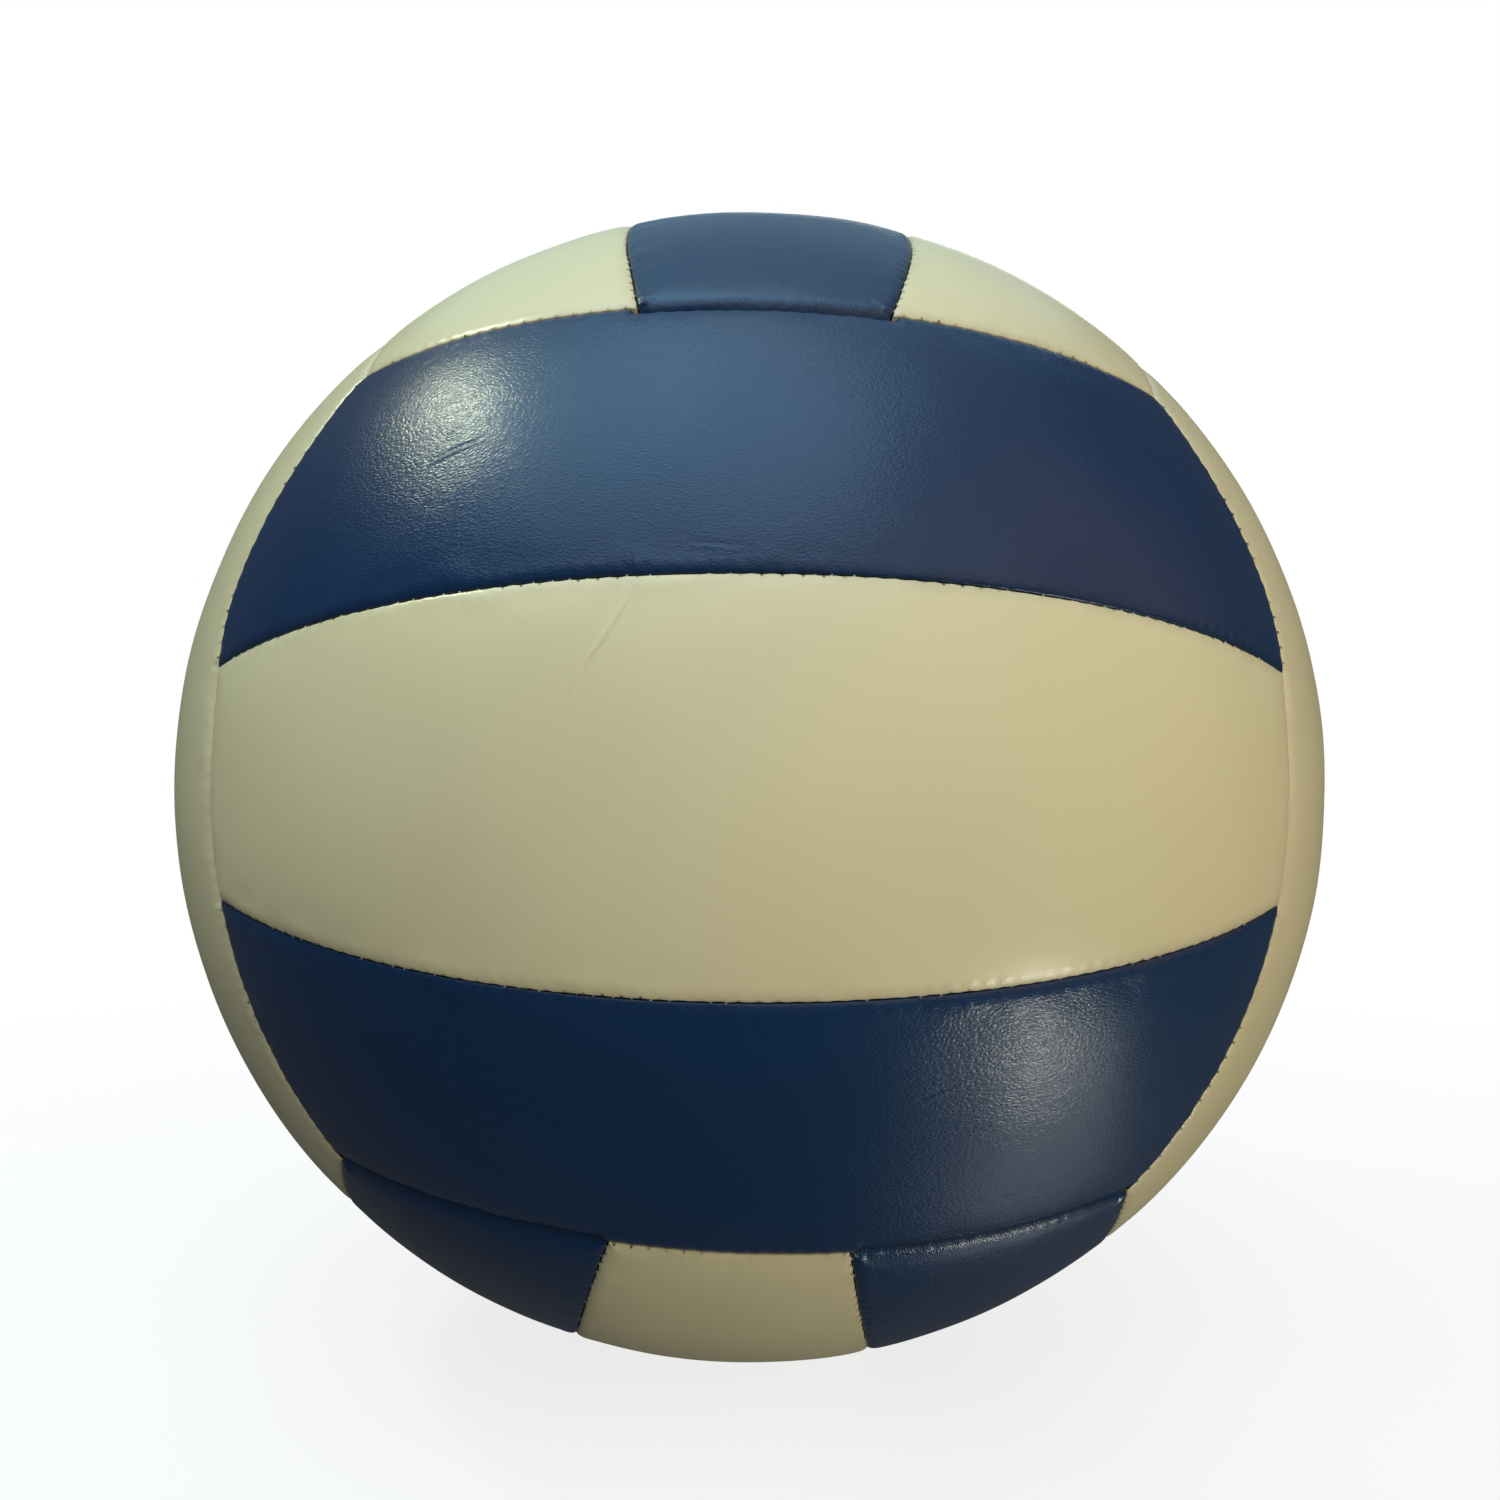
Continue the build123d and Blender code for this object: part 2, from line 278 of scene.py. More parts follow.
# %% Seams and colours
def seam_distances(strip, points):
    """For each of the strip's seams: distance and place along it in mm, and the direction across it."""
    found = []
    for side in (-1, 1):
        pole = np.array((-side * sin(pole_tilt), -cos(pole_tilt), 0))
        middle = np.array((side * cos(pole_tilt), -sin(pole_tilt), 0))
        away = (pole_angle - np.arccos(np.clip(points @ pole, -1, 1))) * BALL_RADIUS
        along = np.arctan2(points[:, 2], points @ middle) * BALL_RADIUS * sin(pole_angle)
        found.append((away, along, points * (points @ pole)[:, None] - pole))
    for side in ((-1, 1) if strip == "centre" else (1,)):
        normal = np.array((0, sin(STRIP_SEAM), side * cos(STRIP_SEAM)))
        outward = 1 if strip == "centre" else -1
        away = -outward * np.arcsin(np.clip(points @ normal, -1, 1)) * BALL_RADIUS
        along = np.arcsin(np.clip(points[:, 0], -1, 1)) * BALL_RADIUS
        found.append((away, along, outward * normal + 0 * points))
    if strip != "centre":
        pole = np.array((0, sin(pole_tilt), cos(pole_tilt)))
        middle = np.array((0, -cos(pole_tilt), sin(pole_tilt)))
        away = (np.arccos(np.clip(points @ pole, -1, 1)) - pole_angle) * BALL_RADIUS
        along = np.arctan2(points[:, 0], points @ middle) * BALL_RADIUS * sin(pole_angle)
        found.append((away, along, pole - points * (points @ pole)[:, None]))
    return found


def is_blue(points):
    """For each unit vector of the regular pattern, whether it lies on a blue panel."""
    blue = np.zeros(len(points), bool)
    for face, (axis, angle, places) in FACES.items():
        local = points @ np.array(face_turn(face))
        inside = local[:, 1] < 0
        for side in (-1, 1):
            inside &= local @ (-side * sin(pole_tilt), -cos(pole_tilt), 0) > cos(pole_angle)
            inside &= local @ (0, sin(pole_tilt), side * cos(pole_tilt)) < cos(pole_angle)
        above = local @ (0, sin(STRIP_SEAM), cos(STRIP_SEAM)) > 0
        below = local @ (0, sin(STRIP_SEAM), -cos(STRIP_SEAM)) > 0
        for where, place in zip((above, ~above & ~below, below), places):
            if f"{face}_{place}" in BLUE_PANELS:
                blue |= inside & where
    return blue


print("the middle of the top is blue:", is_blue(np.array([[0.0, 0.0, 1.0]]))[0])

# %% [markdown]
# Creases are few: one long bend across the cream strip in front, short ones near the blue panels' edges.
# Each is a furrow with a low ridge beside it, so that it shows as a thin dark line with a light one along
# it. The panel's mesh is too coarse for them, so it is divided finely just there.

# %% Creases
# Places as angles along X and about X on the ball, in degrees, then half width and height in millimetres
CREASES = [
    ("front_centre", ((-8.3, 13.0), (-10.1, 9.9), (-11.0, 8.7), (-12.4, 6.0)), 0.42, 0.090),
    ("front_upper", ((-25.4, 27.4), (-22.6, 28.0), (-20.2, 28.3)), 0.40, 0.070),
    ("front_upper", ((-24.2, 29.6), (-22.4, 30.3)), 0.40, 0.035),
    ("front_upper", ((-4.4, 16.8), (-0.6, 16.4)), 0.45, 0.035),
    ("front_upper", ((-8.2, 15.2), (-8.3, 16.6)), 0.30, 0.040),
    ("front_lower", ((12.0, -24.0), (16.0, -22.6)), 0.45, 0.035),
]
CREASE_PEAK = 2.3                # brings the ridge's top to the height asked for
CREASE_FADE = 0.6
CREASE_ZONE = 2.2
CREASE_CUTS = 3


def on_ball(angles):
    a, b = radians(angles[0]), radians(angles[1])
    return np.array((sin(a), -cos(a) * cos(b), cos(a) * sin(b))) * BALL_RADIUS


def crease_height(points, route, half_width, rise):
    """Height that one crease adds at points on the ball, all in millimetres, and the distance from it."""
    spots = [on_ball(angles) for angles in route]
    lengths = [np.linalg.norm(b - a) for a, b in zip(spots, spots[1:])]
    best = np.full(len(points), np.inf)
    height = np.zeros(len(points))
    done = 0
    for a, b, length in zip(spots, spots[1:], lengths):
        line = (b - a) / length
        share = np.clip((points - a) @ line, 0, length)
        off = points - a - share[:, None] * line
        far = np.linalg.norm(off, axis=1)
        side = np.sign(off @ np.cross(line, a / BALL_RADIUS)) * far / half_width
        fade = np.sin(pi * np.clip((done + share) / sum(lengths), 0, 1)) ** CREASE_FADE
        here = far < best
        height[here] = (rise * CREASE_PEAK * side * np.exp(-side ** 2) * fade)[here]
        best = np.minimum(best, far)
        done += length
    return height, best


def add_creases(name, panel):
    """Divide the mesh finely beside each crease of a panel and raise it there."""
    for owner, *crease in CREASES:
        if owner != name:
            continue
        bm = bmesh.new()
        bm.from_mesh(panel.data)
        verts = list(bm.verts)
        far = crease_height(np.array([v.co for v in verts]) / MM, *crease)[1]
        near = {v for v, d in zip(verts, far) if d < CREASE_ZONE}
        edges = [e for e in bm.edges if near.issuperset(e.verts)]
        bmesh.ops.subdivide_edges(bm, edges=edges, cuts=CREASE_CUTS, use_grid_fill=True)
        heights = crease_height(np.array([v.co for v in bm.verts]) / MM, *crease)[0]
        for v, rise in zip(bm.verts, heights):
            v.co += v.co.normalized() * float(rise) * MM
        for f in bm.faces:
            f.smooth = True
        bm.to_mesh(panel.data)
        bm.free()
        print(f"crease on {name}: {len(edges)} edges divided")


print(len(CREASES), "creases planned")

# %% [markdown]
# A cover and the pad behind it are cut to the same strip. Both begin as a flat grid, because it has rows
# and columns already, and differ only in their rim and step. The grid's points are laid on a ball of
# radius 1, where the distances to the seams are easy to work out.

# %% One strip's grid
STITCH = 2.5                     # from one stitch to the next
PULL_MIDDLE = 0.9                # a stitch pulls hardest at this distance from the seam
CORNER_BLEND = 5                 # rounds off the corner where two rims meet


def unit(vectors):
    return vectors / np.linalg.norm(vectors, axis=1)[:, None]


def strip_grid(face, strip, rim, step):
    """One strip's mesh with its points on the unit ball and what is known of its seams at each point."""
    base = "centre" if strip == "centre" else "upper"
    middle = np.array(0.0 if base == "centre" else OUTER_STRIP)
    length = 2 * float(end_angle(middle, 0.0)) * BALL_RADIUS
    low, high = side_angles(base, np.array(0.0), 0.0)
    columns = lines_across(length, rim, step)
    rows = lines_across(float(high - low) * BALL_RADIUS, rim, step)
    nu, nv = len(columns[0]) - 1, len(rows[0]) - 1
    bm = bmesh.new()
    bmesh.ops.create_grid(bm, x_segments=nu, y_segments=nv, size=1)
    mesh = bpy.data.meshes.new("strip")
    bm.to_mesh(mesh)
    bm.free()
    flat = np.empty(len(mesh.vertices) * 3)
    mesh.vertices.foreach_get("co", flat)
    flat = flat.reshape(-1, 3)
    i = np.rint((flat[:, 0] + 1) / 2 * nu).astype(int)
    j = np.rint((flat[:, 1] + 1) / 2 * nv).astype(int)
    along, across = lay_out(base, columns, rows)
    along, across = along[i, j], across[i, j]
    wide = np.cos(along)
    points = np.stack((np.sin(along), -wide * np.cos(across), wide * np.sin(across)), axis=1)
    depth = np.maximum(columns[2][i], rows[2][j])
    if rim[-1][1] == 0:
        depth = (columns[2][i] ** CORNER_BLEND + rows[2][j] ** CORNER_BLEND) ** (1 / CORNER_BLEND)

    nearest = np.full(len(points), np.inf)
    outward, seam_place = np.empty((len(points), 3)), np.empty(len(points))
    pull = np.zeros(len(points))
    for away, place, across_it in seam_distances(base, points):
        here = away < nearest
        nearest[here], seam_place[here] = away[here], place[here]
        outward[here] = unit(across_it)[here]
        pull += np.cos(2 * pi * place / STITCH) * np.exp(-((away - PULL_MIDDLE) / PULL_MIDDLE) ** 2)
    if strip == "lower":
        points[:, 2] *= -1
        outward[:, 2] *= -1
    turn = np.array(face_turn(face))
    return SimpleNamespace(mesh=mesh, points=points @ turn.T, outward=outward @ turn.T, along=along,
                           across=across, depth=depth, nearest=nearest, seam_place=seam_place, pull=pull)


print("a stitch every", STITCH, "mm")

# %% [markdown]
# A real skin has an outside and no flat facets. So the faces of a piece all have to look outwards, and
# they are shaded smooth. The editor has commands for both. Here a face in the middle tells which way a
# piece looks.

# %% Finish a piece
def finish_piece(mesh, name):
    """Turn all faces outwards, shade them smooth and put the piece in the scene."""
    bm = bmesh.new()
    bm.from_mesh(mesh)
    bmesh.ops.recalc_face_normals(bm, faces=bm.faces)
    bm.faces.ensure_lookup_table()
    middle = bm.faces[len(bm.faces) // 2]
    if middle.normal.dot(middle.calc_center_median()) < 0:
        bmesh.ops.reverse_faces(bm, faces=bm.faces)
    for f in bm.faces:
        f.smooth = True
    bm.to_mesh(mesh)
    bm.free()
    mesh.name = name
    piece = bpy.data.objects.new(name, mesh)
    bpy.context.scene.collection.objects.link(piece)
    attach(piece, "root")
    return piece


# %% [markdown]
# Where two panels meet, the thread pulls their edges down. Two blue panels meet in a deep groove, two
# cream ones close up, and where cream meets blue the cream edge comes forward at every stitch. It could
# be sculpted seam by seam. Worked out from the distance to the seam, all edges come out alike and keep to
# the stitches.

# %% A cover's edge
SEAM_CLOSED = 0.10               # two cream panels are drawn together by this much each
CLOSED_REACH = 2.0
EDGE_FORWARD = 0.10              # a cream edge comes this far over a blue one at a stitch
EDGE_BACK = -0.2                 # and between stitches goes back by this share of it at most
FORWARD_REACH = 0.6
FORWARD_WANDER = 0.6
CREAM_GROOVE = 0.45              # how much deeper a seam of one colour is, and how far from it that reaches
CREAM_GROOVE_REACH = 1.0
BLUE_GROOVE = 1.3
BLUE_GROOVE_REACH = 1.1


def edge_shape(grid, bright, beyond):
    """How far a cover's points are pushed over the seam and how much deeper they lie, in millimetres."""
    if not bright:
        return np.zeros(len(grid.nearest)), BLUE_GROOVE * beyond * np.exp(-grid.nearest / BLUE_GROOVE_REACH)
    wander = FORWARD_WANDER * seam_pucker(grid.points * BALL_RADIUS)
    forward = EDGE_FORWARD * np.clip(np.cos(2 * pi * grid.seam_place / STITCH) + wander, EDGE_BACK, 1)
    closed = SEAM_CLOSED * np.clip(1 - grid.nearest / CLOSED_REACH, 0, 1)
    push = np.where(beyond, forward * np.exp(-grid.nearest / FORWARD_REACH), closed)
    return push, CREAM_GROOVE * ~beyond * np.exp(-grid.nearest / CREAM_GROOVE_REACH)


print("a seam between blue panels is", BLUE_GROOVE, "mm deeper, between cream ones", CREAM_GROOVE, "mm")

# %% [markdown]
# A cover is sunk towards its seams and puckered at every stitch, and the foam swells under its field. A
# cloth simulation is the usual way to pad fabric. It wasn't tried here: the cover lies drum-tight on the
# ball and its swells are slight, so they are added as heights. Each point also keeps what the materials
# need: its distance from the seam, its place along it, whether the other side has the other colour, and
# its place on the skin.

# %% Covers
FIELD_STEP = 0.56                # from one mesh line to the next in the field
NEIGHBOUR = 3.0                  # how far beyond the seam the neighbour's colour is looked up
PILLOW = 0.16                    # the field stands this much higher than the shoulders' tops
PILLOW_REACH = 10.0
PILLOW_CURVE = 2.2
SWELL = 0.07
SWELL_FREE = 6.0                 # from here on the foam swells freely
CREAM_PUCKER = 0.035
BLUE_PUCKER = 0.05
PUCKER_MIDDLE = 2.0              # the puckers are strongest at this distance from the seam
PUCKER_WIDTH = 2.6
PLAIN_DEPTH = 1.6                # below this a seam's wall is plain
GRAIN_STRETCH = 0.62             # the grain is drawn out along the strip


def build_cover(face, strip, name, number):
    bright = name not in BLUE_PANELS
    grid = strip_grid(face, strip, cover_rim(CREAM_DROP if bright else BLUE_DROP), FIELD_STEP)
    beyond = is_blue(unit(grid.points + grid.outward * ((grid.nearest + NEIGHBOUR) / BALL_RADIUS)[:, None]))
    push, groove = edge_shape(grid, bright, beyond)
    placed = sewn(unit(grid.points + grid.outward * (push / BALL_RADIUS)[:, None])) * BALL_RADIUS
    pillow = PILLOW * np.clip(1 - grid.nearest / PILLOW_REACH, 0, 1) ** PILLOW_CURVE
    pucker = seam_pucker(placed) * np.exp(-((grid.nearest - PUCKER_MIDDLE) / PUCKER_WIDTH) ** 2)
    pucker = (CREAM_PUCKER if bright else BLUE_PUCKER) * (grid.pull + pucker)
    swell = SWELL * foam_swell(placed) * np.clip(grid.nearest / SWELL_FREE, 0, 1)
    on_top = np.clip(1 - grid.depth / PLAIN_DEPTH, 0, 1)
    height = -grid.depth - pillow + (swell - groove - pucker) * on_top
    placed *= ((BALL_RADIUS + height) / BALL_RADIUS)[:, None] * MM
    mesh = grid.mesh
    mesh.vertices.foreach_set("co", placed.ravel())
    two_tone = (beyond == bright).astype(float)
    for key, values in (("seam_mm", grid.nearest), ("along_mm", grid.seam_place), ("two_tone", two_tone)):
        mesh.attributes.new(key, "FLOAT", "POINT").data.foreach_set("value", values)
    skin = np.stack((grid.along * GRAIN_STRETCH, grid.across, np.full(len(placed), number)), axis=1)
    skin = skin * BALL_RADIUS * MM
    mesh.attributes.new("skin", "FLOAT_VECTOR", "POINT").data.foreach_set("vector", skin.ravel())
    return finish_piece(mesh, f"{name}_cover")


# %% [markdown]
# A foam pad is glued in behind each cover. It shows only when the ball is opened, so a coarse grid will
# do. It could stay as the CAD made it, but it gets the same map as the cover, so that it stays under it.
# Only the pad behind the valve is the CAD's own. Then all covers and pads are made, face by face.

# %% Foam pads and all panels
FOAM_STEP = 4.0
FOAM_RIM = [(2.4, 3.55), (1.3, 3.5), (1.2, 3.2), (1.2, 1.7), (1.5, 1.25), (2.2, 1.02), (4.0, 1.0)]


def build_foam(face, strip, name):
    grid = strip_grid(face, strip, FOAM_RIM, FOAM_STEP)
    placed = sewn(grid.points) * (BALL_RADIUS - grid.depth)[:, None] * MM
    grid.mesh.vertices.foreach_set("co", placed.ravel())
    return finish_piece(grid.mesh, f"{name}_pad")


panels, pads = {}, {}
for face, (axis, angle, places) in FACES.items():
    for strip, place in zip(("upper", "centre", "lower"), places):
        name = f"{face}_{place}"
        panels[name] = build_cover(face, strip, name, len(panels))
        add_creases(name, panels[name])
        if name != "back_centre":
            pads[name] = build_foam(face, strip, name)
faces_made = sum(len(p.data.polygons) for p in panels.values())
print(len(panels), "panels,", faces_made, "faces;", len(pads), "foam pads")

# %% [markdown]
# The valve sits in a round hole in the middle of the back. A boolean cut would leave a sharp edge and a
# ragged mesh. Instead the points inside are taken out, those round the gap are moved onto a circle, and
# the rim is extruded inwards in a few steps, as a punched edge rounds over.

# %% Valve hole
VALVE_HOLE = 8.6
HOLE_ROUND = 0.4
# How far in and how deep each step of the rim goes
HOLE_STEPS = ((0.12, 0.03), (0.28, 0.14), (HOLE_ROUND, 0.42), (HOLE_ROUND, 3.2))


def cut_valve_hole(panel):
    """Open the panel around the +Y axis for the valve: a small rounded rim and a straight wall behind it."""
    bm = bmesh.new()
    bm.from_mesh(panel.data)
    outer = (VALVE_HOLE / 2 + HOLE_ROUND) * MM
    inside = [v for v in bm.verts if v.co.y > 0 and hypot(v.co.x, v.co.z) < outer]
    bmesh.ops.delete(bm, geom=inside, context="VERTS")
    open_edges = [e for e in bm.edges if e.is_boundary]
    rim = [e for e in open_edges if all(hypot(v.co.x, v.co.z) < 2 * outer for v in e.verts)]
    for v in {v for e in rim for v in e.verts}:
        v.co.x, v.co.z = (c * outer / hypot(v.co.x, v.co.z) for c in (v.co.x, v.co.z))
    for inset, drop in HOLE_STEPS:
        out = bmesh.ops.extrude_edge_only(bm, edges=rim)["geom"]
        rim = [e for e in out if isinstance(e, bmesh.types.BMEdge) and e.is_boundary]
        for v in {v for e in rim for v in e.verts}:
            wide = (outer - inset * MM) / hypot(v.co.x, v.co.z)
            v.co = (v.co.x * wide, sqrt((BALL_RADIUS * MM) ** 2 - outer ** 2) - drop * MM, v.co.z * wide)
    bmesh.ops.recalc_face_normals(bm, faces=bm.faces)
    for f in bm.faces:
        f.smooth = True
    bm.to_mesh(panel.data)
    bm.free()
    print("valve hole cut:", len(inside), "points taken out,", len(rim), "edges round it")


cut_valve_hole(panels["back_centre"])
for name, panel in panels.items():
    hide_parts(f"{name}_panel")
for name, pad in pads.items():
    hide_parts(f"{name}_foam")

# %% [markdown]
# The panels are sewn edge to edge with waxed thread. What shows from outside is a short bar of thread
# across the seam at every stitch. An array along a curve could place them, but each bar has to know the
# colours beside it, so the places are worked out one by one. The front face's places, turned, serve all
# faces.

# %% Where the stitches are
END_GAP = 1.2                    # no stitch comes closer than this to a seam's end


def seam_places():
    """Middle of every stitch that belongs to the front face, and the direction across, on a unit ball."""
    found = []
    x = np.array((1.0, 0, 0))
    strip_end = float(end_angle(np.array(STRIP_SEAM), 0.0))
    edge_end = atan2(CORNER, CORNER * (cos(pole_tilt) + sin(pole_tilt)))
    for side in (1, -1):
        across = np.array((0, sin(STRIP_SEAM), side * cos(STRIP_SEAM)))
        middle = np.array((0, -cos(STRIP_SEAM), side * sin(STRIP_SEAM)))
        count = int((strip_end * BALL_RADIUS - END_GAP) / STITCH)
        for k in range(-count, count + 1):
            s = k * STITCH / BALL_RADIUS
            found.append((sin(s) * x + cos(s) * middle, across))
        pole = np.array((0, sin(pole_tilt), side * cos(pole_tilt)))
        middle = np.array((0, -cos(pole_tilt), side * sin(pole_tilt)))
        count = int((edge_end * BALL_RADIUS * sin(pole_angle) - END_GAP) / STITCH)
        for k in range(-count, count + 1):
            s = k * STITCH / (BALL_RADIUS * sin(pole_angle))
            out = sin(s) * x + cos(s) * middle
            found.append((cos(pole_angle) * pole + sin(pole_angle) * out,
                          sin(pole_angle) * pole - cos(pole_angle) * out))
    return found


print(len(seam_places()), "stitches belong to one face")

# %% [markdown]
# A bar of thread lies a little askew and dips at both ends, where it goes into the skin. Between two
# colours some bars lie high and some low, and between panels of one colour all lie deep in the groove. A
# painted line would do from far off, but the camera is close. So one straight tube is made, to be bent
# for each stitch.

# %% One bar of thread
THREAD = 0.3
RING = 8
BAR = np.array((-0.95, -0.7, -0.45, -0.2, 0, 0.2, 0.45, 0.7, 0.95))
SLANT = (0.10, 0.5)
SHIFT = 0.35
HIGH_STITCH = (0.55, 0.8)        # depths below the ball's surface, from and to
LOW_STITCH = (1.2, 1.5)
DEEP_STITCH = (2.1, 2.5)
END_DIP = 0.9
DIP_CURVE = 1.5


def stitch_path(rng, two_tone):
    """Places along one bar of thread: across the seam, along it and up from the ball's surface, in mm."""
    slant = rng.uniform(*SLANT)
    sink = rng.uniform(*DEEP_STITCH)
    if two_tone:
        sink = rng.uniform(*HIGH_STITCH) if rng.random() < 0.5 else rng.uniform(*LOW_STITCH)
    shift = rng.uniform(-SHIFT, SHIFT)
    return BAR, shift + slant * BAR, -sink - END_DIP * np.abs(BAR) ** DIP_CURVE


def thread_bar():
    """A straight closed tube along Z, from -1 to 1, with a ring of points for each place of BAR."""
    bm = bmesh.new()
    bmesh.ops.create_cone(bm, cap_ends=True, segments=RING, radius1=THREAD / 2, radius2=THREAD / 2, depth=2)
    sides = [e for e in bm.edges if e.verts[0].co.z * e.verts[1].co.z < 0]
    bmesh.ops.subdivide_edges(bm, edges=sides, cuts=len(BAR) - 2)
    mesh = bpy.data.meshes.new("thread_bar")
    bm.to_mesh(mesh)
    bm.free()
    return mesh


bar_mesh = thread_bar()
bar_points = np.array([v.co for v in bar_mesh.vertices])
bar_ring = np.rint((bar_points[:, 2] + 1) / 2 * (len(BAR) - 1)).astype(int)
print("a bar has", len(bar_points), "points in", len(BAR), "rings")

# %% [markdown]
# The four seams that belong to a face share one piece of stitching, as they share one node in the CAD
# model. Instances of the bar would be lighter, but couldn't bend. So the bar's mesh is added once for
# every stitch, and the points of each copy are moved to their places.

# %% Stitches
def build_stitches(face, seed):
    rng = np.random.default_rng(seed)
    turn = np.array(face_turn(face))
    bm = bmesh.new()
    placed = []
    for middle, across in seam_places():
        off = across * NEIGHBOUR / BALL_RADIUS
        sides = np.array((middle, middle + off, middle - off)) @ turn.T
        two_tone = is_blue(sides[1:]).sum() == 1
        up, there, back = sewn(unit(sides))
        over = (there - back) / np.linalg.norm(there - back)
        beside = np.cross(over, up)
        x, y, z = (values[bar_ring][:, None] for values in stitch_path(rng, two_tone))
        ring = beside * bar_points[:, :1] + up * bar_points[:, 1:2]
        placed.append((up * (BALL_RADIUS + z) + over * x + beside * y + ring) * MM)
        bm.from_mesh(bar_mesh)
    for v, place in zip(bm.verts, np.concatenate(placed)):
        v.co = place
    bmesh.ops.recalc_face_normals(bm, faces=bm.faces)
    for f in bm.faces:
        f.smooth = True
    mesh = bpy.data.meshes.new(f"{face}_stitches")
    bm.to_mesh(mesh)
    bm.free()
    piece = bpy.data.objects.new(f"{face}_stitches", mesh)
    bpy.context.scene.collection.objects.link(piece)
    return piece


stitches = {face: build_stitches(face, 20 + k) for k, face in enumerate(FACES)}
for face, piece in stitches.items():
    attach(piece, "root")
    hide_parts(f"{face}_seam_thread")
bpy.data.meshes.remove(bar_mesh)
print(len(seam_places()) * len(FACES), "stitches")

# %% [markdown]
# Every material here is made of the same few nodes: noise, a change of range, a mix of two colours and
# bump. Each could be set up line by line, as in the editor, but helpers keep the recipes short enough to
# read.

# %% Shader helpers
def new_material(name):
    material = bpy.data.materials.new(name)
    material.use_nodes = True
    tree = material.node_tree
    shader = next(n for n in tree.nodes if n.type == "BSDF_PRINCIPLED")
    return material, tree, shader


def add(tree, kind, **settings):
    node = tree.nodes.new(kind)
    for key, value in settings.items():
        setattr(node, key, value)
    return node


def fill(tree, socket, value):
    """A number, a colour or another node's output into a socket."""
    if isinstance(value, (int, float)):
        socket.default_value = value
    elif isinstance(value, tuple):
        socket.default_value = (*value, 1)
    else:
        tree.links.new(value, socket)


def attribute(tree, name, output="Fac"):
    return add(tree, "ShaderNodeAttribute", attribute_name=name).outputs[output]


def object_place(tree):
    return add(tree, "ShaderNodeTexCoord").outputs["Object"]


def noise(tree, where, scale, detail=2.0, rough=0.5, output="Fac"):
    node = add(tree, "ShaderNodeTexNoise")
    for key, value in (("Scale", scale), ("Detail", detail), ("Roughness", rough), ("Vector", where)):
        fill(tree, node.inputs[key], value)
    return node.outputs[output]


def calc(tree, operation, *values, clamp=False):
    node = add(tree, "ShaderNodeMath", operation=operation, use_clamp=clamp)
    for socket, value in zip(node.inputs, values):
        fill(tree, socket, value)
    return node.outputs[0]


def to_range(tree, value, low, high, new_low, new_high):
    node = add(tree, "ShaderNodeMapRange")
    for socket, number in zip(node.inputs, (value, low, high, new_low, new_high)):
        fill(tree, socket, number)
    return node.outputs[0]


def mix_colour(tree, share, a, b):
    node = add(tree, "ShaderNodeMix", data_type="RGBA")
    for socket, value in ((node.inputs[0], share), (node.inputs[6], a), (node.inputs[7], b)):
        fill(tree, socket, value)
    return node.outputs[2]


def add_bump(tree, shader, height, strength, distance):
    node = add(tree, "ShaderNodeBump")
    for key, value in (("Strength", strength), ("Distance", distance), ("Height", height)):
        fill(tree, node.inputs[key], value)
    tree.links.new(node.outputs[0], shader.inputs["Normal"])


# %% [markdown]
# Synthetic leather is cloth with a coat of plastic. A roller presses a fine grain into it: round-cornered
# cells of a bit over half a millimetre with wrinkles between them. It could be displaced in the mesh, but
# is only a few hundredths of a millimetre deep, so it is bump in the shader. It follows an attribute that
# runs along each strip.

# %% Leather grain
GRAIN_CELLS = 1900               # scales of the textures, for a metre of skin
GRAIN_FOLDS = 1500
GRAIN_FINE = 3600
FINE_SHARE = 0.35
WRINKLE_WIDTH = 0.28
WARP_SCALE = 420                 # a slow noise bends the cells out of their even pattern
WARP = 0.0009
GRAIN_DEPTH = 0.00006


def leather_grain(tree):
    skin = attribute(tree, "skin", "Vector")
    warp = add(tree, "ShaderNodeVectorMath", operation="MULTIPLY_ADD")
    tree.links.new(noise(tree, skin, WARP_SCALE, output="Color"), warp.inputs[0])
    warp.inputs[1].default_value = (WARP, WARP, WARP)
    tree.links.new(skin, warp.inputs[2])
    cells = add(tree, "ShaderNodeTexVoronoi", feature="DISTANCE_TO_EDGE")
    fill(tree, cells.inputs["Scale"], GRAIN_CELLS)
    tree.links.new(warp.outputs[0], cells.inputs["Vector"])
    wrinkles = to_range(tree, cells.outputs["Distance"], 0.0, WRINKLE_WIDTH, 0.0, 1.0)
    folds = noise(tree, warp.outputs[0], GRAIN_FOLDS, 3, 0.6)
    fine = noise(tree, skin, GRAIN_FINE, 2, 0.5)
    return calc(tree, "MULTIPLY_ADD", fine, FINE_SHARE, calc(tree, "ADD", folds, wrinkles))


print(f"grain cells of about {1000 / GRAIN_CELLS:.2f} by {1000 / GRAIN_CELLS / GRAIN_STRETCH:.2f} mm")

# %% [markdown]
# The skin is painted darker within about two millimetres of every seam, in patches, towards a darker
# copy of its own colour: painted shade in the seams. Beside some stitches between two colours, near-black
# dots paint the shade in the needle holes. The coat is a little shinier in some places than in others. All
# of this could be painted on a UV map. Here the seam shade and the hole shade follow the distances stored
# in the mesh, so that they sit right at every seam.

# %% Leather colours
NEEDLE_INSET = 0.28
# Near-black dots paint the shade in the needle holes
HOLE_SHADE_COLOUR = (0.02, 0.02, 0.02)
ROUGHNESS = (0.285, 0.335)


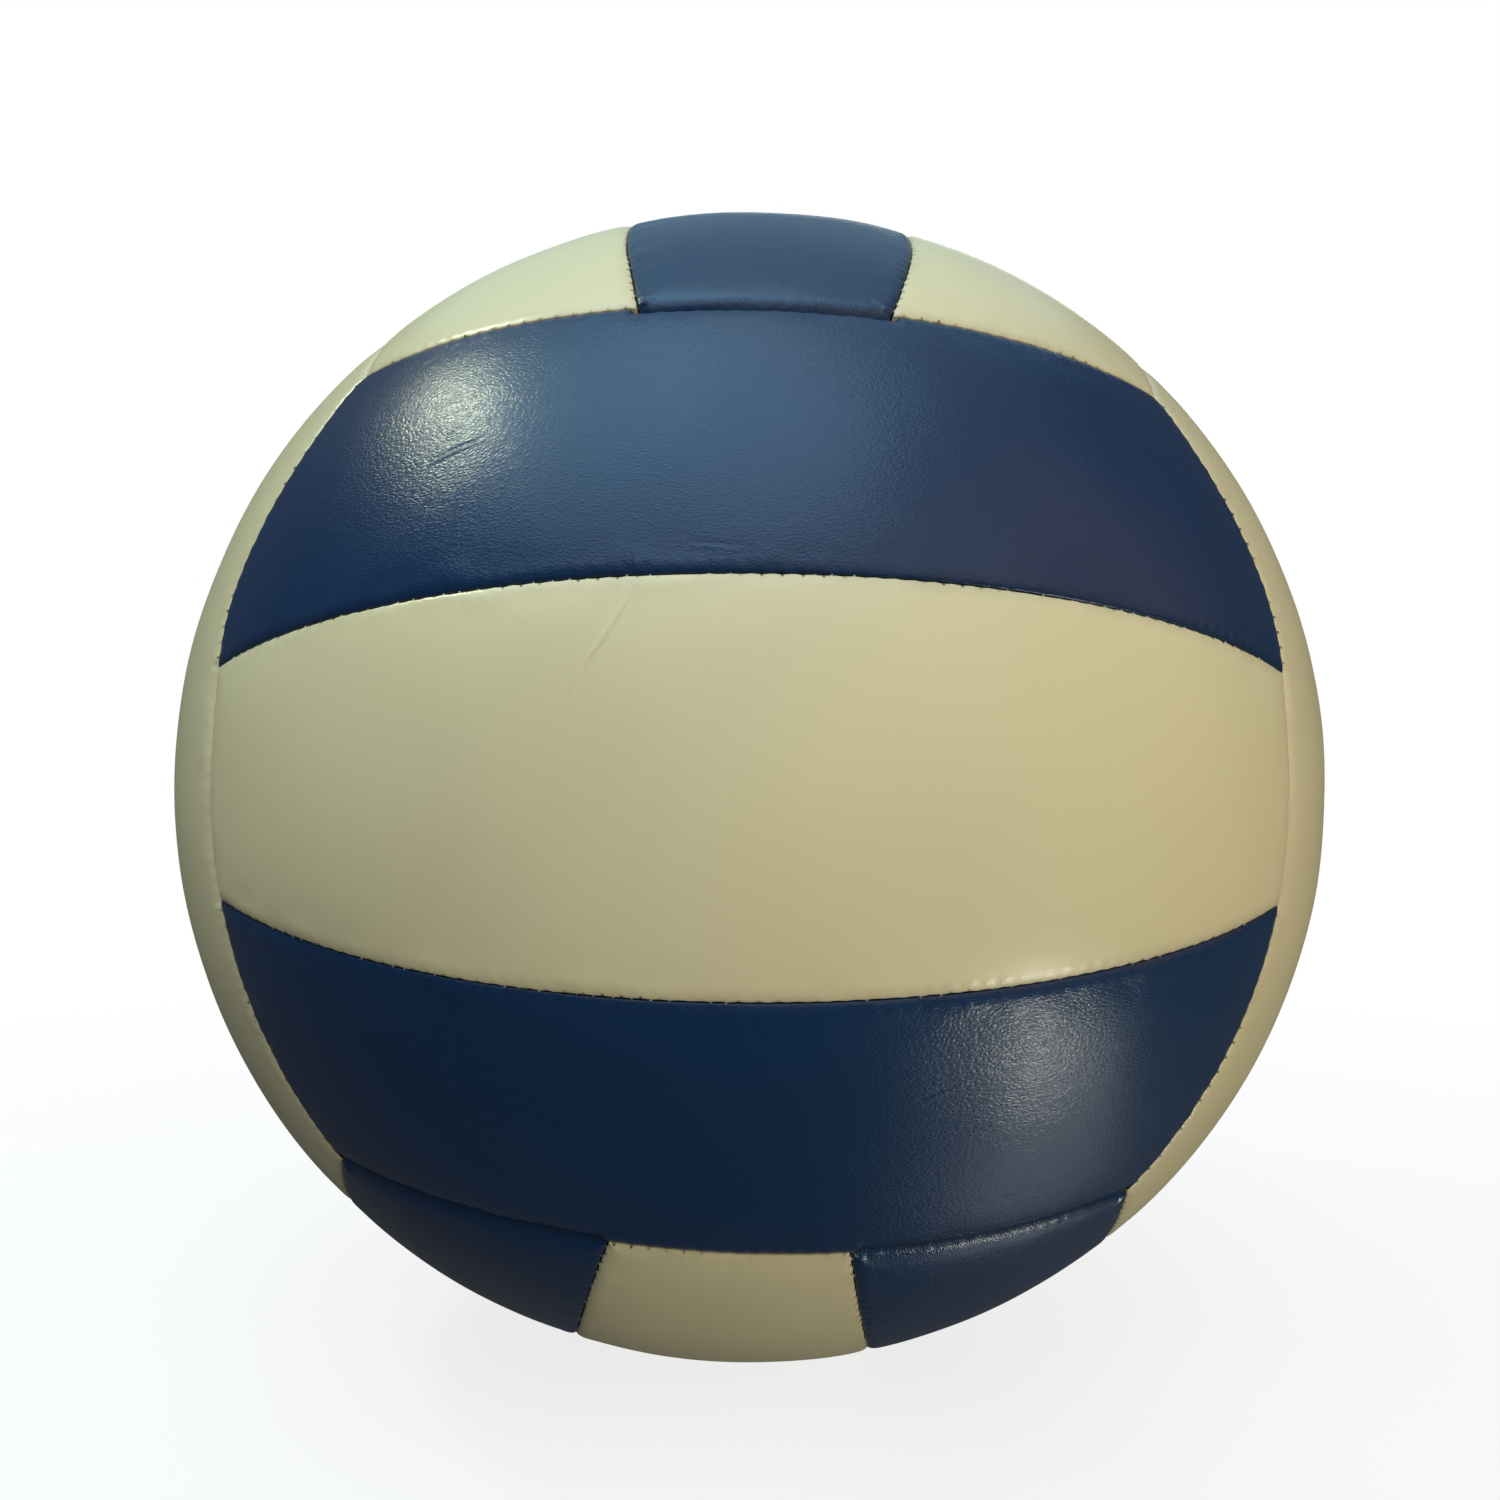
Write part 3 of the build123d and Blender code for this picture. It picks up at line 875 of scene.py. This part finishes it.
# Painted shade: darker in patches within about 2 mm of every seam, towards a darker copy of the skin's
# colour
def seam_painted_shade(tree, place, seam, shade_share):
    near_seam = to_range(tree, seam, 0.2, 2.2, 1.0, 0.0)
    patchy = to_range(tree, noise(tree, place, 160, 3, 0.6), 0.35, 0.7, 0.25, 1.0)
    return calc(tree, "MULTIPLY", calc(tree, "MULTIPLY", near_seam, patchy), shade_share)


def needle_hole_shade(tree, place, seam):
    """1 in the painted shade of some small holes beside a two-colour seam, one hole to a stitch."""
    phase = calc(tree, "FRACT", calc(tree, "DIVIDE", attribute(tree, "along_mm"), STITCH))
    offset = add(tree, "ShaderNodeCombineXYZ")
    tree.links.new(calc(tree, "MULTIPLY", calc(tree, "SUBTRACT", phase, 0.5), STITCH), offset.inputs[0])
    tree.links.new(calc(tree, "SUBTRACT", seam, NEEDLE_INSET), offset.inputs[1])
    away = add(tree, "ShaderNodeVectorMath", operation="LENGTH")
    tree.links.new(offset.outputs[0], away.inputs[0])
    shade_dot = to_range(tree, away.outputs["Value"], 0.14, 0.30, 1.0, 0.0)
    some = to_range(tree, noise(tree, place, 90, 2, 0.5), 0.45, 0.6, 0.0, 0.85)
    return calc(tree, "MULTIPLY", calc(tree, "MULTIPLY", shade_dot, some), attribute(tree, "two_tone"))


def cover_material(name, colour, deep_colour, seam_shade_colour, shade_share, grain_strength):
    material, tree, shader = new_material(name)
    place = object_place(tree)
    seam = attribute(tree, "seam_mm")
    add_bump(tree, shader, leather_grain(tree), grain_strength, GRAIN_DEPTH)
    tone = mix_colour(tree, noise(tree, place, 22, 3, 0.55), colour, deep_colour)
    # Painted shade: darker along every seam, and near-black in some needle holes
    tone = mix_colour(tree, seam_painted_shade(tree, place, seam, shade_share), tone, seam_shade_colour)
    tone = mix_colour(tree, needle_hole_shade(tree, place, seam), tone, HOLE_SHADE_COLOUR)
    tree.links.new(tone, shader.inputs["Base Color"])
    rubbed = noise(tree, place, 35, 3, 0.6)
    tree.links.new(to_range(tree, rubbed, 0.25, 0.75, *ROUGHNESS), shader.inputs["Roughness"])
    shader.inputs["Specular IOR Level"].default_value = 0.45
    return material


# The fourth and fifth values are the painted seam shade's colour and share
blue = cover_material("blue_synthetic_leather", (0.0035, 0.028, 0.083), (0.003, 0.022, 0.068),
                      (0.003, 0.015, 0.046), 0.6, 0.32)
cream = cover_material("cream_synthetic_leather", (0.69, 0.61, 0.367), (0.65, 0.57, 0.338),
                       (0.36, 0.30, 0.175), 0.4, 0.08)
for name, panel in panels.items():
    panel.data.materials.append(blue if name in BLUE_PANELS else cream)
print("leather:", len(blue.node_tree.nodes), "nodes each")

# %% [markdown]
# Waxed thread is spun from fibres, so it gets fine noise in colour and bump. Foam, rubber and cloth are
# inside and, but for the valve, show only when the ball is opened. Each could have a recipe of its own,
# but one with two tones of noise does for all of them.

# %% Thread and inner pieces
def plain_material(name, light, dark, rough, scale, depth, detail=4, strength=0.5):
    """Two tones of fine noise, with the same noise as bump."""
    material, tree, shader = new_material(name)
    grain = noise(tree, object_place(tree), scale, detail, 0.6)
    tree.links.new(mix_colour(tree, grain, dark, light), shader.inputs["Base Color"])
    add_bump(tree, shader, grain, strength, depth)
    shader.inputs["Roughness"].default_value = rough
    return material


thread = plain_material("waxed_thread", (0.44, 0.42, 0.32), (0.20, 0.19, 0.15), 0.55, 5200, 0.00004, 3, 0.6)
for piece in stitches.values():
    piece.data.materials.append(thread)

inner = {
    "foam": plain_material("white_foam", (0.76, 0.74, 0.68), (0.60, 0.58, 0.52), 0.9, 900, 0.0002),
    "bladder": plain_material("butyl_rubber", (0.022, 0.022, 0.022), (0.012, 0.012, 0.013),
                              0.5, 300, 0.00005),
    "valve_body": plain_material("valve_rubber", (0.045, 0.045, 0.044), (0.022, 0.022, 0.022),
                                 0.55, 900, 0.00006),
    "valve_plug": plain_material("plug_rubber", (0.10, 0.10, 0.10), (0.06, 0.06, 0.06), 0.6, 1100, 0.00005),
    "valve_patch": plain_material("cotton_cloth", (0.62, 0.60, 0.54), (0.42, 0.40, 0.35),
                                  0.95, 2200, 0.0002),
}
for name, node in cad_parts.items():
    key = "foam" if name.endswith("_foam") else name
    if key in inner:
        node.data.materials.clear()
        node.data.materials.append(inner[key])
for pad in pads.values():
    pad.data.materials.append(inner["foam"])
print("inner materials:", ", ".join(inner))

# %% [markdown]
# The photo's light looks like that of a room by day. An image of a room could light the ball, but lamps
# can be placed one by one. A small lamp high on the left and one low on the right make the two
# highlights. Wide lamps above, most of them bluish, stand for windows and sky, and warm ones in front and
# on the right for the room. The one in front is left out of reflections, where it would lie like a veil
# on the blue. A wide lamp low on the right gives the glow under the lower highlight, and the last one
# lights the back for other views.

# %% Lamps
def soft_lamp(name, place, size, power, colour):
    data = bpy.data.lights.new(name, "AREA")
    data.shape = "DISK"
    data.size = size
    data.energy = power
    data.color = colour
    lamp = bpy.data.objects.new(name, data)
    lamp.location = place
    lamp.rotation_euler = (-Vector(place)).to_track_quat("-Z", "Y").to_euler()
    lamp.visible_camera = False
    bpy.context.scene.collection.objects.link(lamp)
    return lamp


# Name, place in metres from the ball's centre, diameter, power in watts and colour
LAMPS = [
    ("key_left", (-0.485, 0.005, 0.602), 0.09, 1.5, (0.92, 1.0, 0.74)),
    ("window_left", (-0.42, -0.25, 0.95), 0.8, 1.8, (0.15, 0.68, 1.0)),
    ("window_above", (0.0, -0.46, 0.96), 0.8, 2.1, (0.12, 0.52, 1.0)),
    ("sky_left", (-0.22, -0.55, 1.05), 1.6, 7.7, (0.76, 0.92, 1.0)),
    ("sky_right", (0.30, -0.40, 1.10), 1.6, 1.7, (0.95, 0.93, 0.72)),
    ("sky_behind", (0.0, 0.60, 0.95), 1.3, 1.8, (0.50, 0.84, 1.0)),
    ("room_front", (0.10, -1.1, 0.50), 1.2, 6.4, (1.0, 0.97, 0.93)),
    ("room_right", (0.55, -1.0, 0.40), 0.9, 1.1, (1.0, 0.82, 0.52)),
    ("warm_right", (1.0, -0.45, 0.42), 1.2, 1.9, (1.0, 0.58, 0.25)),
    ("low_right", (0.418, -0.260, -0.37), 0.07, 0.75, (0.98, 1.0, 0.86)),
    ("low_window", (0.42, -0.04, -0.56), 0.35, 0.32, (0.95, 0.98, 1.0)),
    ("room_behind", (0.1, 1.25, 0.30), 0.9, 6.5, (1.0, 0.96, 0.90)),
]
lamps = {lamp[0]: soft_lamp(*lamp) for lamp in LAMPS}
lamps["room_front"].visible_glossy = False
print(len(lamps), "lamps,", round(sum(lamp.data.energy for lamp in lamps.values()), 2), "W")

# %% [markdown]
# The photo's background is plain white. The floor takes the ball's shadow near by and fades to plain
# white further out. Near the ball its glow is weaker, which also paints a faint shadow round the ball,
# besides the real one. More light could make it white, but would wash out the ball. So it glows for the
# camera, and is dark for the rays that carry light to the ball. The two low lamps stand below it, so it
# casts no shadow, and reflections pass through it and see the world.

# %% Floor
BACKDROP = 1.0
REFLECTED = 0.05
FLOOR_HALF = 8.0
FLOOR_COLOUR = (0.85, 0.85, 0.85)
FLOOR_DARK = (0.12, 0.12, 0.12)
FADE_FROM = 0.10                 # metres from the ball's centre
FADE_TO = 0.50
FADE_LEAST = 0.80
floor_mesh = bpy.data.meshes.new("floor")
bm = bmesh.new()
bmesh.ops.create_grid(bm, x_segments=1, y_segments=1, size=FLOOR_HALF)
bmesh.ops.translate(bm, verts=bm.verts, vec=(0, 0, cad_box[0][2]))
bm.to_mesh(floor_mesh)
bm.free()
floor = bpy.data.objects.new("floor", floor_mesh)
floor.visible_shadow = False
floor.visible_glossy = False
bpy.context.scene.collection.objects.link(floor)


def seen_by_eye(tree):
    """1 for camera rays and a little for what glossy and clear surfaces show."""
    path = add(tree, "ShaderNodeLightPath").outputs
    other = calc(tree, "ADD", path["Is Glossy Ray"], path["Is Transmission Ray"], clamp=True)
    return calc(tree, "MULTIPLY_ADD", other, REFLECTED, path["Is Camera Ray"], clamp=True)


floor_mat, tree, shader = new_material("white_floor")
direct = add(tree, "ShaderNodeLightPath").outputs["Is Camera Ray"]
tree.links.new(mix_colour(tree, direct, FLOOR_DARK, FLOOR_COLOUR), shader.inputs["Base Color"])
shader.inputs["Roughness"].default_value = 0.9
shader.inputs["Specular IOR Level"].default_value = 0.0
away = add(tree, "ShaderNodeVectorMath", operation="LENGTH")
tree.links.new(object_place(tree), away.inputs[0])
# Painted shadow: the glow is weaker near the ball, which darkens the floor round it besides its real shadow
fade = to_range(tree, away.outputs["Value"], FADE_FROM, FADE_TO, FADE_LEAST, 1.0)
glow = add(tree, "ShaderNodeEmission")
glow.inputs["Strength"].default_value = BACKDROP
blend = add(tree, "ShaderNodeMixShader")
tree.links.new(calc(tree, "MULTIPLY", seen_by_eye(tree), fade), blend.inputs[0])
tree.links.new(shader.outputs[0], blend.inputs[1])
tree.links.new(glow.outputs[0], blend.inputs[2])
tree.links.new(blend.outputs[0], next(n for n in tree.nodes if n.type == "OUTPUT_MATERIAL").inputs[0])
floor.data.materials.append(floor_mat)
print("floor at", round(cad_box[0][2], 4), "m")

# %% [markdown]
# Past the floor the photo is the same white. A backdrop could be modelled, but the world does without
# one. It is white for the camera, dark grey in reflections, because the blue strips in the photo mirror a
# dark room, and darker still for the rays that carry light to the ball.

# %% World
AMBIENT = 0.03
world = bpy.data.worlds.new("studio")
world.use_nodes = True
bpy.context.scene.world = world
tree = world.node_tree
background = next(n for n in tree.nodes if n.type == "BACKGROUND")
tree.links.new(to_range(tree, seen_by_eye(tree), 0, 1, AMBIENT, BACKDROP), background.inputs["Strength"])
background.inputs["Color"].default_value = (1, 1, 1, 1)
bpy.context.scene.view_settings.view_transform = "Standard"
print("world:", BACKDROP, "for the camera,", AMBIENT, "for other light")
